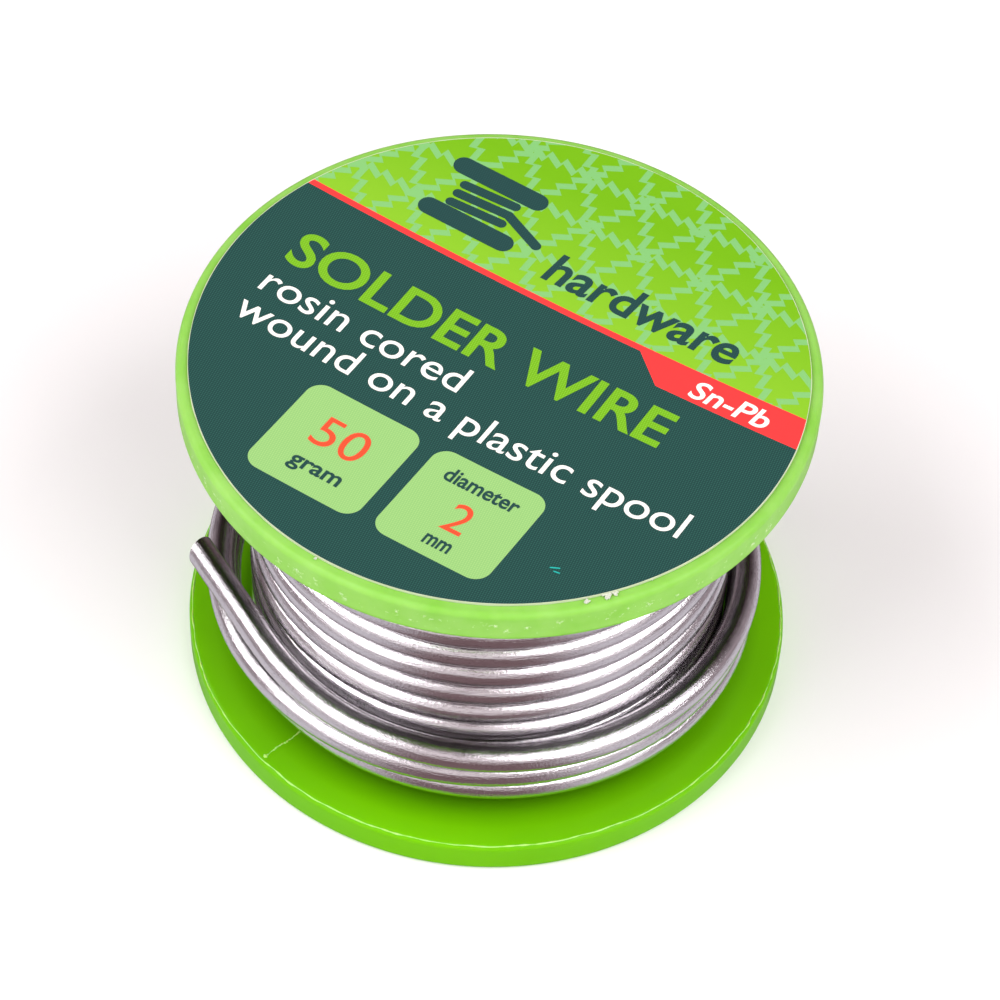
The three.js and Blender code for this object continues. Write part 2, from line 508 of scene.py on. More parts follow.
@dataclass(frozen=True)
class DrawnSolder(Finish):
    """Tin-lead solder, drawn bright through a die: a soft, silvery, slightly lilac metal with fine lines
    along the wire, a grain of tiny pits, duller patches, and painted shade: a dark colour in the grooves
    where the turns touch and shade each other. A pattern's numbers are its waves a millimetre along and
    round, and its octaves."""

    name: str = "drawn_tin_lead_solder"
    colour: str = "#E4E0E4"
    dull_colour: str = "#8E868A"
    # Painted shade: the dark colour painted in the grooves between the turns.
    groove_shade_colour: str = "#1A1516"
    girth: float = FULL_TURN
    groove_shade_half: float = 0.57
    groove_shade_fade: float = 0.22
    groove_shade_strength: float = 0.97
    groove_shade_edge: Settings = (0.8, 2.0, 4.0)
    groove_shade_waver: float = 0.5
    lines: Settings = (0.22, 4.5, 4.0)
    patches: Settings = (0.14, 0.6, 3.0)
    grain: Settings = (5.0, 9.0, 3.0)
    octave_share: float = 0.6
    dullness: Settings = (0.42, 0.68)
    pits: Settings = (0.56, 0.68)
    streaks: Settings = (0.56, 0.74, 0.0, 0.45)
    roughness: Settings = (0.0, 1.0, 0.08, 0.22)
    line_bump: float = 0.8
    line_depth: float = 0.04
    grain_bump: float = 0.55
    grain_depth: float = 0.035

    def pattern(self, tree: Tree, surface: Node, along: float, around: float, octaves: float) -> Node:
        """Gives a noise of about 0.5, stretched along the wire.

        Args:
            tree: The material's tree.
            surface: The wire's own map, in millimetres.
            along: Waves a millimetre along the wire.
            around: Waves a millimetre round it.
            octaves: Octaves of finer noise.

        Returns:
            The noise.
        """
        stretched = add(tree, "Mapping", surface, Scale=(along, around, 1.0))
        return add(tree, "TexNoise", stretched, 1.0, octaves, self.octave_share)

    def groove_shade(self, tree: Tree, surface: Node) -> Node:
        """Gives the painted groove shade, dark where the turns touch and shade each other: it lies a quarter of
        the girth from the seam on both sides, so the distance is what ping-pong over half the girth leaves
        from a quarter, and its edge wavers.

        Args:
            tree: The material's tree.
            surface: The wire's own map, in millimetres.

        Returns:
            Values from 0 to the shade's strength.
        """
        around = add(tree, "SeparateXYZ", surface).outputs["Y"]
        folded = add(tree, "Math.PINGPONG", around, self.girth / 2)
        distance = add(tree, "Math.ABSOLUTE", add(tree, "Math.SUBTRACT", folded, self.girth / 4))
        waver = self.pattern(tree, surface, *self.groove_shade_edge)
        reach = add(tree, "Math.MULTIPLY_ADD", waver, self.groove_shade_waver, distance)
        return add(tree, "MapRange", reach, self.groove_shade_half, self.groove_shade_half + self.groove_shade_fade, self.groove_shade_strength, 0.0)

    def looks(self, tree: Tree) -> dict[str, object]:
        """Gives the shader's inputs. The patterns run on the wire's own map."""
        surface = add(tree, "UVMap", uv_map="surface")
        lines, patches, grain = (self.pattern(tree, surface, *p) for p in (self.lines, self.patches, self.grain))
        dull = add(tree, "MapRange", patches, *self.dullness)
        marks = add(tree, "Math.MULTIPLY", add(tree, "MapRange", grain, *self.pits), dull)
        shade = add(tree, "Math.MAXIMUM", marks, add(tree, "MapRange", lines, *self.streaks))
        tone = add(tree, "Mix.RGBA", shade, self.colour, self.dull_colour)
        ridges = add(tree, "Bump", Height=lines, Strength=self.line_bump, Distance=self.line_depth * MM)
        pitted = add(
            tree, "Bump", Height=grain, Strength=self.grain_bump, Distance=self.grain_depth * MM, Normal=ridges
        )
        return {
            # Painted shade: dark colour in the grooves where the turns touch and shade each other.
            "Base_Color": add(tree, "Mix.RGBA", self.groove_shade(tree, surface), tone, self.groove_shade_colour),
            "Roughness": add(tree, "MapRange", dull, *self.roughness),
            "Normal": pitted,
            "Metallic": 1.0,
        }


@dataclass(frozen=True)
class Rosin(Finish):
    """Rosin flux, cast into the wire: a brittle amber resin with a glassy surface."""

    name: str = "amber_rosin"
    colour: str = "#C98A2C"
    dark_colour: str = "#8E5514"
    cracks: Settings = (4.0, 4.0)
    crack_bump: float = 0.4
    crack_depth: float = 0.05
    ior: float = 1.53
    roughness: float = 0.22
    translucency: float = 0.3
    scatter_depth: float = 0.3

    def looks(self, tree: Tree) -> dict[str, object]:
        """Gives the shader's inputs."""
        cracks = add(tree, "TexNoise", millimetres(tree), *self.cracks)
        return {
            "Base_Color": add(tree, "Mix.RGBA", cracks, self.colour, self.dark_colour),
            "Normal": add(tree, "Bump", Height=cracks, Strength=self.crack_bump, Distance=self.crack_depth * MM),
            "IOR": self.ior,
            "Roughness": self.roughness,
            "Subsurface_Weight": self.translucency,
            "Subsurface_Scale": self.scatter_depth * MM,
        }


@dataclass(frozen=True)
class Ink(Finish):
    """Offset ink on coated paper: a thin, nearly matt layer that shows the fine dots of its screen."""

    name: str = "ink"
    colour: str = "#FFFFFF"
    screen_colour: str = "#F4F4F4"
    screen_pitch: float = 0.16
    roughness: float = 0.45
    ior: float = 1.45

    def looks(self, tree: Tree) -> dict[str, object]:
        """Gives the shader's inputs."""
        dots = printer_screen(tree, millimetres(tree), self.screen_pitch)
        tone = add(tree, "Mix.RGBA", dots, self.colour, self.screen_colour)
        return {"Base_Color": tone, "Roughness": self.roughness, "IOR": self.ior}


@dataclass(frozen=True)
class Panel:
    """A rounded square printed on the label, by its middle and its half width."""

    x: float
    y: float
    half: float


@dataclass(frozen=True)
class LabelPrint(Finish):
    """Coated paper printed by offset: a dark field and a lime segment with a lattice of jagged lines,
    parted by a red stripe that widens into a tab, and two pale panels. The cut edge stays white."""

    name: str = "offset_printed_coated_paper"
    paper: str = "#C9D2B4"
    field_colour: str = "#133A37"
    field_dots: str = "#33695F"
    segment_colour: str = "#6CAE00"
    segment_light: str = "#8CC42C"
    segment_fade: Settings = (6.5, 16.2, 0.8, 0.1)
    lattice_colour: str = "#80C07C"
    lattice_strength: float = 0.8
    stripe_colour: str = "#FF3B3B"
    panel_colour: str = "#8CC070"
    panel_dots: str = "#A6D082"
    rim_radius: float = 20.16
    stripe_low: float = 6.02
    stripe_high: float = 6.5
    tab_low: float = 3.95
    tab_left: float = 7.0
    tab_slant: float = 1.15
    panels: tuple[Panel, ...] = (Panel(-4.7, -12.22, 4.22), Panel(4.85, -12.22, 4.15))
    panel_corner: float = 1.15
    lattice_edge: float = 4.5
    lattice_row: float = 17.4
    lattice_start: float = -8.34
    stroke: float = 0.56
    jag: float = 0.62
    jag_step: float = 1.2
    jag_return: float = 0.13
    screen_pitch: float = 0.16
    fibres: Settings = (2.5, 5.0, 0.6)
    roughness: Settings = (0.0, 1.0, 0.38, 0.52)
    fibre_bump: float = 0.15
    fibre_depth: float = 0.03
    ior: float = 1.45

    def looks(self, tree: Tree) -> dict[str, object]:
        """Gives the shader's inputs, on Object coordinates, so the print lies in the label's plane."""
        place = millimetres(tree)
        flat = add(tree, "VectorMath.MULTIPLY", place, FLAT)
        y = add(tree, "SeparateXYZ", flat).outputs["Y"]
        dots = printer_screen(tree, flat, self.screen_pitch)
        colour = add(tree, "Mix.RGBA", dots, self.field_colour, self.field_dots)
        panel = add(tree, "Mix.RGBA", dots, self.panel_colour, self.panel_dots)
        for spot in self.panels:
            colour = add(tree, "Mix.RGBA", self.panel_mask(tree, flat, spot), colour, panel)
        stripe = add(tree, "Math.GREATER_THAN", y, self.stripe_low)
        red = add(tree, "Math.MAXIMUM", stripe, self.tab_mask(tree, flat))
        colour = add(tree, "Mix.RGBA", red, colour, self.stripe_colour)
        fade = add(tree, "MapRange", y, *self.segment_fade)
        lime = add(tree, "Mix.RGBA", fade, self.segment_colour, self.segment_light)
        lattice = add(tree, "Math.MULTIPLY", self.lattice_mask(tree, flat), self.lattice_strength)
        lime = add(tree, "Mix.RGBA", lattice, lime, self.lattice_colour)
        colour = add(tree, "Mix.RGBA", add(tree, "Math.GREATER_THAN", y, self.stripe_high), colour, lime)
        rim = add(tree, "Math.GREATER_THAN", add(tree, "VectorMath.LENGTH", flat), self.rim_radius)
        fibres = add(tree, "TexNoise", place, *self.fibres)
        return {
            "Base_Color": add(tree, "Mix.RGBA", rim, colour, self.paper),
            "Roughness": add(tree, "MapRange", fibres, *self.roughness),
            "Normal": add(tree, "Bump", Height=fibres, Strength=self.fibre_bump, Distance=self.fibre_depth * MM),
            "IOR": self.ior,
        }

    def panel_mask(self, tree: Tree, flat: Node, spot: Panel) -> Node:
        """Gives a rounded square: where the length of max(|p - middle| - (half - corner), 0) is under
        the corner's radius.

        Args:
            tree: The material's tree.
            flat: Coordinates in the label's plane, in millimetres.
            spot: The panel.

        Returns:
            1 inside and 0 outside.
        """
        away = add(tree, "VectorMath.SUBTRACT", flat, (spot.x, spot.y, 0.0))
        reach = spot.half - self.panel_corner
        past = add(tree, "VectorMath.SUBTRACT", add(tree, "VectorMath.ABSOLUTE", away), (reach, reach, 0.0))
        corner = add(tree, "VectorMath.MAXIMUM", past, (0.0, 0.0, 0.0))
        return add(tree, "Math.LESS_THAN", add(tree, "VectorMath.LENGTH", corner), self.panel_corner)

    def tab_mask(self, tree: Tree, flat: Node) -> Node:
        """Gives the tab: above its lower edge, and right of a line that slants down to the right.

        Args:
            tree: The material's tree.
            flat: Coordinates in the label's plane, in millimetres.

        Returns:
            1 inside and 0 outside.
        """
        slant = add(tree, "VectorMath.DOT_PRODUCT", flat, (1.0, self.tab_slant, 0.0))
        right = add(tree, "Math.GREATER_THAN", slant, self.tab_left + self.tab_slant * self.stripe_low)
        y = add(tree, "SeparateXYZ", flat).outputs["Y"]
        return add(tree, "Math.MULTIPLY", right, add(tree, "Math.GREATER_THAN", y, self.tab_low))

    def lattice_mask(self, tree: Tree, flat: Node) -> Node:
        """Gives a lattice of triangles drawn in jagged strokes. Each of three sets of lines lies 60
        degrees from the next. Across a line, a sawtooth of the distance along it is added, which falls
        back over a short part of its step, and the stroke is where what is left of the distance to the
        nearest line is under half a stroke.

        Args:
            tree: The material's tree.
            flat: Coordinates in the label's plane, in millimetres.

        Returns:
            1 on a stroke and 0 beside it.
        """
        pitch = self.lattice_edge * math.sin(math.radians(60))
        strokes = []
        for degrees in (0, 60, 120):
            cos, sin = math.cos(math.radians(degrees)), math.sin(math.radians(degrees))
            start = self.lattice_row * cos - self.lattice_start * sin
            along = add(tree, "VectorMath.DOT_PRODUCT", flat, (cos, sin, 0.0))
            across = add(tree, "VectorMath.DOT_PRODUCT", flat, (-sin, cos, 0.0))
            share = add(tree, "Math.FRACT", add(tree, "Math.DIVIDE", along, self.jag_step))
            rise = add(tree, "Math.MULTIPLY", share, 1 / (1 - self.jag_return))
            fall = add(tree, "Math.MULTIPLY", add(tree, "Math.SUBTRACT", 1.0, share), 1 / self.jag_return)
            jagged = add(tree, "Math.MULTIPLY_ADD", add(tree, "Math.MINIMUM", rise, fall), self.jag, across)
            centred = add(tree, "Math.SUBTRACT", jagged, start + self.jag / 2)
            near = add(tree, "Math.PINGPONG", centred, pitch / 2)
            strokes.append(add(tree, "Math.LESS_THAN", near, self.stroke / 2))
        return add(tree, "Math.MAXIMUM", add(tree, "Math.MAXIMUM", strokes[0], strokes[1]), strokes[2])


# Spool


@dataclass(frozen=True)
class SpoolSizes:
    """The moulding's sizes, as in the frame."""

    height: float = 28.0
    flange_radius: float = 21.0
    flange_thickness: float = 2.5
    edge_radius: float = 0.4
    hub_radius: float = 12.4
    hub_wall: float = 1.5
    fillet_radius: float = 0.4
    web_thickness: float = 2.0
    bore_draft: float = 0.2
    mouth_chamfer: float = 0.5
    top_dish: float = 0.7
    label_margin: float = 0.8

    @property
    def label_radius(self) -> float:
        """The label's radius."""
        return self.flange_radius - self.label_margin

    @property
    def web(self) -> float:
        """Height of the web's underside."""
        return self.height - self.top_dish - self.web_thickness

    def dish(self, radius: Array) -> Array:
        """The top's height at a radius: the height less the dish times (1 - (radius / label radius)^2)."""
        share = np.clip(np.asarray(radius) / self.label_radius, 0, 1)
        return self.height - self.top_dish * (1 - share**2)


@dataclass
class Spool:
    """The moulded spool, with the thin flash that its mould leaves."""

    sizes: SpoolSizes = field(default_factory=SpoolSizes)
    columns: int = 480
    arc_points: int = 9
    bore_corner: float = 0.15
    dish_points: int = 14
    rim_inset: float = 0.1
    swell: float = 0.012
    swell_ripple: Ripple = Ripple(8, 9, 0.5)
    # Where the attribute for the painted pale glare and the scuffs lies on the upper flange.
    glare_and_scuffs_from: float = 25.6
    glare_and_scuffs_to: float = 26.0
    glare_and_scuffs_inside: float = 0.4
    band_height: float = 26.8
    band_half: float = 0.45
    band_share: float = 0.4
    flash_stations: int = 3200
    flash_radius: float = 20.8
    flash_height: float = 0.075
    flash_half: float = 0.06
    flash_wander: float = 0.045
    wander_ripple: Ripple = Ripple(3, 70, 0.35)
    flash_ripples: tuple[Ripple, Ripple] = (Ripple(5, 160, 0.15), Ripple(6, 12, 0.2))
    flash_shares: tuple[float, float, float] = (0.5, 0.45, 0.3)
    flash_limits: tuple[float, float] = (0.12, 1.5)
    flash_widths: tuple[float, float] = (0.5, 0.7)
    steepest: float = 0.95
    seam_stations: int = 90
    seam_angle: float = -104.85
    seam_from: float = 17.3
    seam_height: float = 0.045
    seam_half: float = 0.07
    seam_sway: float = 0.05
    sway_ripple: Ripple = Ripple(21, 14, 0.6)
    seam_ripple: Ripple = Ripple(23, 40, 0.2)
    seam_shares: tuple[float, float] = (0.75, 0.5)
    seam_limits: tuple[float, float] = (0.3, 1.5)
    blob_at: float = 0.95
    blob_length: float = 0.04
    blob_half: float = 0.12
    blob_height: float = 0.06
    sunk: float = 0.015
    ridge_across: tuple[float, ...] = (-1.0, -0.45, 0.45, 1.0)
    ridge_rise: tuple[float, ...] = (0.0, 1.0, 0.8, 0.0)

    def arc(self, centre: tuple[float, float], radius: float, start: float, end: float) -> Array:
        """An arc of the profile: centre + radius (cos, sin), from one angle to the other.

        Args:
            centre: The arc's centre, as distance from the axis and height.
            radius: The arc's radius.
            start: First angle, in degrees.
            end: Last angle, in degrees.

        Returns:
            Points, (n, 2).
        """
        angle = np.radians(np.linspace(start, end, self.arc_points))
        return np.stack([centre[0] + radius * np.cos(angle), centre[1] + radius * np.sin(angle)], -1)

    def straight(self, start: tuple[float, float], end: tuple[float, float], count: int) -> Array:
        """Evenly spaced points between two ends, without the ends."""
        share = np.arange(1, count + 1)[:, None] / (count + 1)
        return np.array(start) * (1 - share) + np.array(end) * share

    def profile(self) -> Array:
        """The section from under the web, down the bore and round both flanges to the dished top.

        Returns:
            Distances from the axis and heights, (n, 2).
        """
        s = self.sizes
        edge, fillet, web = s.edge_radius, s.fillet_radius, s.web
        rim = s.flange_radius - edge
        bore = s.hub_radius - s.hub_wall
        deep = bore - s.bore_draft
        hub = s.hub_radius + fillet
        upper = s.height - s.flange_thickness
        label = s.label_radius * np.linspace(1, 0, self.dish_points)[:-1]
        return np.concatenate(
            [
                self.straight((0, web), (deep, web), 4),
                [(deep - self.bore_corner, web), (deep, web - self.bore_corner)],
                self.straight((deep, web - self.bore_corner), (bore, s.mouth_chamfer), 6),
                [(bore, s.mouth_chamfer), (bore + s.mouth_chamfer, 0)],
                self.straight((bore + s.mouth_chamfer, 0), (rim, 0), 5),
                self.arc((rim, edge), edge, -90, 0),
                self.straight((s.flange_radius, edge), (s.flange_radius, s.flange_thickness - edge), 5),
                self.arc((rim, s.flange_thickness - edge), edge, 0, 90),
                self.straight((rim, s.flange_thickness), (hub, s.flange_thickness), 12),
                self.arc((hub, s.flange_thickness + fillet), fillet, -90, -180),
                self.straight((s.hub_radius, s.flange_thickness + fillet), (s.hub_radius, upper - fillet), 6),
                self.arc((hub, upper - fillet), fillet, 180, 90),
                self.straight((hub, upper), (rim, upper), 12),
                self.arc((rim, upper + edge), edge, -90, 0),
                self.straight((s.flange_radius, upper + edge), (s.flange_radius, s.height - edge), 8),
                self.arc((rim, s.height - edge), edge, 0, 90),
                [(rim - self.rim_inset, s.height)],
                np.stack([label, s.dish(label)], -1),
            ]
        )

    def build_moulding(self, material: bpy.types.Material) -> None:
        """Makes the moulding. Its rims swell and sink by a hundredth as they cooled unevenly, and an attribute marks
        the upper flange for painted pale glare and for the scuffs of fingers: most of all a band round its side.

        Args:
            material: The plastic.
        """
        s = self.sizes
        section = self.profile()
        angle = np.arange(self.columns) * FULL_TURN / self.columns
        radius, height = (np.repeat(section[:, i : i + 1], self.columns, 1) for i in (0, 1))
        radius = radius + self.swell * self.swell_ripple.at(angle) * (radius > s.label_radius)
        ends = [np.full((1, self.columns), z) for z in (s.web, s.height - s.top_dish)]
        moulded = revolve("moulded_spool", radius, np.concatenate([ends[0], height, ends[1]]))
        # The attribute is high on the upper flange: it drives the painted pale glare and the scuffs.
        outer = smooth_step(radius, s.label_radius - self.glare_and_scuffs_inside, s.label_radius)
        band = np.exp(-(((height - self.band_height) / self.band_half) ** 2))
        glare_and_scuffs = smooth_step(height, self.glare_and_scuffs_from, self.glare_and_scuffs_to) * outer
        glare_and_scuffs *= 1 - self.band_share + self.band_share * band
        attribute = moulded.data.attributes.new("glare_and_scuffs", "FLOAT", "POINT")
        attribute.data.foreach_set("value", np.concatenate([glare_and_scuffs.ravel(), [0, 0]]).astype(np.float32))
        settle(moulded, Body.SPOOL, Slot.SPOOL, material, "spool_body")

    def ridge(
        self, name: str, path: Array, up: Array, side: Array, half: Array, height: Array, material: bpy.types.Material
    ) -> None:
        """Makes a ridge of flash, whose section has a flat foot, sunk a little, and a blunt crest.

        Args:
            name: Name of the piece.
            path: Points of the surface under the crest, (n, 3).
            up: The surface's directions outwards, (n, 3).
            side: Directions across the ridge, (n, 3).
            half: Half widths, (n,).
            height: Heights, (n,).
            material: The thin plastic.
        """
        across = np.array(self.ridge_across) * half[:, None]
        rise = np.array(self.ridge_rise) * (height[:, None] + self.sunk) - self.sunk
        points = path[:, None] + side[:, None] * across[..., None] + up[:, None] * rise[..., None]
        quads, _ = grid_faces(len(path), 4)
        last = 4 * (len(path) - 1)
        caps = [[3, 2, 1, 0], [last, last + 1, last + 2, last + 3]]
        settle(make_mesh(name, points.reshape(-1, 3), quads.tolist() + caps), Body.SPOOL, Slot.SPOOL, material)

    def build_flash(self, material: bpy.types.Material) -> None:
        """Makes the flash: a lip that wanders round the lower flange's inner edge, and a seam across
        the flange where the mould's halves met, with a blob at its outer end.

        Args:
            material: The thin plastic.
        """
        s = self.sizes
        rim, edge = s.flange_radius - s.edge_radius, s.edge_radius
        angle = np.linspace(0, FULL_TURN, self.flash_stations)
        radius = self.flash_radius + self.flash_wander * self.wander_ripple.at(angle)
        tilt = np.arcsin(np.clip((radius - rim) / edge, 0, self.steepest))
        cos, sin = np.cos(tilt)[:, None], np.sin(tilt)[:, None]
        out = np.stack([np.cos(angle), np.sin(angle), 0 * angle], -1)
        path = out * radius[:, None] + UP * (s.flange_thickness - edge + edge * cos)
        fine, broad = (r.at(angle) for r in self.flash_ripples)
        mean, fine_share, broad_share = self.flash_shares
        strength = np.clip(mean + fine_share * fine + broad_share * broad, *self.flash_limits)
        least, growth = self.flash_widths
        half = self.flash_half * (least + growth * strength)
        up, side = out * sin + UP * cos, out * cos - UP * sin
        self.ridge("rim_flash", path, up, side, half, self.flash_height * strength, material)

        share = np.linspace(0, 1, self.seam_stations)
        bearing = math.radians(self.seam_angle)
        along = np.array([math.cos(bearing), math.sin(bearing), 0])
        sideways = np.array([-math.sin(bearing), math.cos(bearing), 0])
        reach = self.seam_from + (rim - self.seam_from) * share
        sway = self.seam_sway * self.sway_ripple.at(share * math.pi)
        path = along * reach[:, None] + sideways * sway[:, None] + UP * s.flange_thickness
        blob = np.exp(-(((share - self.blob_at) / self.blob_length) ** 2))
        mean, rough = self.seam_shares
        bits = np.clip(mean + rough * self.seam_ripple.at(share * math.pi), *self.seam_limits)
        up, side = (np.tile(direction, (len(share), 1)) for direction in (UP, sideways))
        half = self.seam_half * bits + self.blob_half * blob
        self.ridge("mould_seam", path, up, side, half, self.seam_height * bits + self.blob_height * blob, material)


# Label


@dataclass(frozen=True)
class Words:
    """One line of print: its text, where it starts and ends, and how high and bold it is."""

    name: str
    text: str
    left: float
    right: float
    base: float
    height: float
    weight: float
    slant: float = 0.0


@dataclass(frozen=True)
class Crumbs:
    """A place where the label's edge is torn, by its bearing in degrees, its radius and its length."""

    bearing: float
    radius: float
    length: float


@dataclass
class Label:
    """The printed paper label on the dished top."""

    sizes: SpoolSizes = field(default_factory=SpoolSizes)
    thickness: float = 0.2
    glue: float = 0.01
    rings: int = 40
    columns: int = 360
    ink_lift: float = 0.012
    ink_film: float = 0.006
    capital: float = 0.7
    letter_depth: float = 0.01
    letter_steps: int = 6
    end_points: int = 11
    fray: float = 0.012
    frayed_from: float = 0.99
    fray_ripple: Ripple = Ripple(11, 70, 0.3)
    crumb_seed: int = 17
    crumbs_each: int = 6
    crumb_corners: int = 11
    crumb_squash: float = 0.55
    crumb_jitter: float = 0.2
    crumb_sizes: tuple[float, float] = (0.2, 0.5)
    crumb_ragged: tuple[float, float] = (0.45, 1.0)
    crumb_spread: float = 0.45
    crumb_lift: float = 0.03
    crumb_thickness: float = 0.06
    crumb_sunk: float = 0.16
    crumb_curl: float = 0.12
    crumbs: tuple[Crumbs, ...] = (
        Crumbs(-91.4, 20.2, 0.35),
        Crumbs(-42.5, 20.05, 0.75),
        Crumbs(-37.8, 20.08, 0.95),
        Crumbs(-30.5, 20.12, 0.4),
        Crumbs(104.6, 19.95, 0.8),
    )

    def face(self, x: Array, y: Array) -> Array:
        """Height at which ink lies on the label."""
        return self.sizes.dish(np.hypot(x, y)) + self.thickness + self.ink_lift

    def build_paper(self, material: bpy.types.Material) -> None:
        """Makes the paper disc: its underside lies on the dish and its face a thickness above, with a
        cut edge that wavers a little.

        Args:
            material: The printed paper.
        """
        s = self.sizes
        angle = np.arange(self.columns) * FULL_TURN / self.columns
        share = np.linspace(0, 1, self.rings)[1:, None]
        waver = 1 + self.fray * self.fray_ripple.at(angle) / s.label_radius * (share > self.frayed_from)
        face = s.label_radius * share * waver
        heights = [s.dish(face) + self.glue, s.dish(face[::-1]) + self.thickness]
        ends = [np.full((1, self.columns), s.height - s.top_dish + lift) for lift in (self.glue, self.thickness)]
        paper = revolve(
            "printed_label", np.concatenate([face, face[::-1]]), np.concatenate([ends[0], *heights, ends[1]])
        )
        settle(paper, Body.SPOOL, Slot.LABEL, material, "front_label")

    def build_crumbs(self, material: bpy.types.Material) -> None:
        """Makes the crumbs of torn paper at the label's edge: small, curled, irregular flakes.

        Args:
            material: The bare paper.
        """
        random = np.random.default_rng(self.crumb_seed)
        count = self.crumb_corners
        flakes = []
        for torn in (torn for torn in self.crumbs for _ in range(self.crumbs_each)):
            angle = math.radians(torn.bearing)
            turn = np.linspace(0, FULL_TURN, count, endpoint=False)
            turn = turn + random.uniform(-self.crumb_jitter, self.crumb_jitter, count)
            size = torn.length * random.uniform(*self.crumb_sizes) * random.uniform(*self.crumb_ragged, count)
            heading = random.uniform(0, math.pi)
            x, y = size * np.cos(turn), size * np.sin(turn) * self.crumb_squash
            shift = random.uniform(-self.crumb_spread, self.crumb_spread, 2) * torn.length
            px = torn.radius * math.cos(angle) + shift[0] + x * math.cos(heading) - y * math.sin(heading)
            py = torn.radius * math.sin(angle) + shift[1] + x * math.sin(heading) + y * math.cos(heading)
            curl = self.crumb_curl * (x / torn.length) ** 2 + random.uniform(0, self.crumb_lift)
            flakes.append(np.column_stack([px, py, self.sizes.height + self.thickness - self.crumb_sunk + curl]))
        settle(prisms("label_torn_fibres", flakes, self.crumb_thickness), Body.SPOOL, Slot.LABEL, material)

    def print_words(self, words: Words, material: bpy.types.Material) -> None:
        """Prints one line: the text is made a mesh, fitted to its width and height, and laid on the dish.

        Args:
            words: The line.
            material: Its ink.
        """
        curve = bpy.data.curves.new(words.name, "FONT")
        curve.body, curve.offset, curve.extrude = words.text, words.weight, self.letter_depth
        curve.resolution_u, curve.shear = self.letter_steps, words.slant
        lettering = show(words.name, curve)
        bpy.context.view_layer.update()
        mesh = bpy.data.meshes.new_from_object(lettering)
        bpy.data.objects.remove(lettering)
        printed = show(words.name, mesh)
        points = np.empty(len(mesh.vertices) * 3)
        mesh.vertices.foreach_get("co", points)
        points = points.reshape(-1, 3)
        low, high = points.min(0), points.max(0)
        x = words.left + (points[:, 0] - low[0]) * (words.right - words.left) / (high[0] - low[0])
        y = words.base + (points[:, 1] + words.weight) * words.height / (self.capital + 2 * words.weight)
        z = self.face(x, y) + np.where(points[:, 2] > 0, self.ink_film, 0)
        mesh.vertices.foreach_set("co", (np.stack([x, y, z], -1) * MM).ravel())
        mesh.update()
        settle(printed, Body.SPOOL, Slot.LABEL, material)

    def print_bars(self, name: str, bars: Sequence[tuple[float, ...]], material: bpy.types.Material) -> None:
        """Prints a pictogram of round-ended bars: each outline is two half circles about a bar's ends.

        Args:
            name: Name of the piece.
            bars: Start x, start y, end x, end y and width of each bar.
            material: Its ink.
        """
        films = []
        for x0, y0, x1, y1, width in bars:
            turn = np.linspace(-math.pi / 2, math.pi / 2, self.end_points) + math.atan2(y1 - y0, x1 - x0)
            round_end = width / 2 * np.stack([np.cos(turn), np.sin(turn)], -1)
            outline = np.concatenate([(x1, y1) + round_end, (x0, y0) - round_end])
            films.append(np.column_stack([outline, self.face(outline[:, 0], outline[:, 1])]))
        settle(prisms(name, films, self.ink_film), Body.SPOOL, Slot.LABEL, material)


# Wire


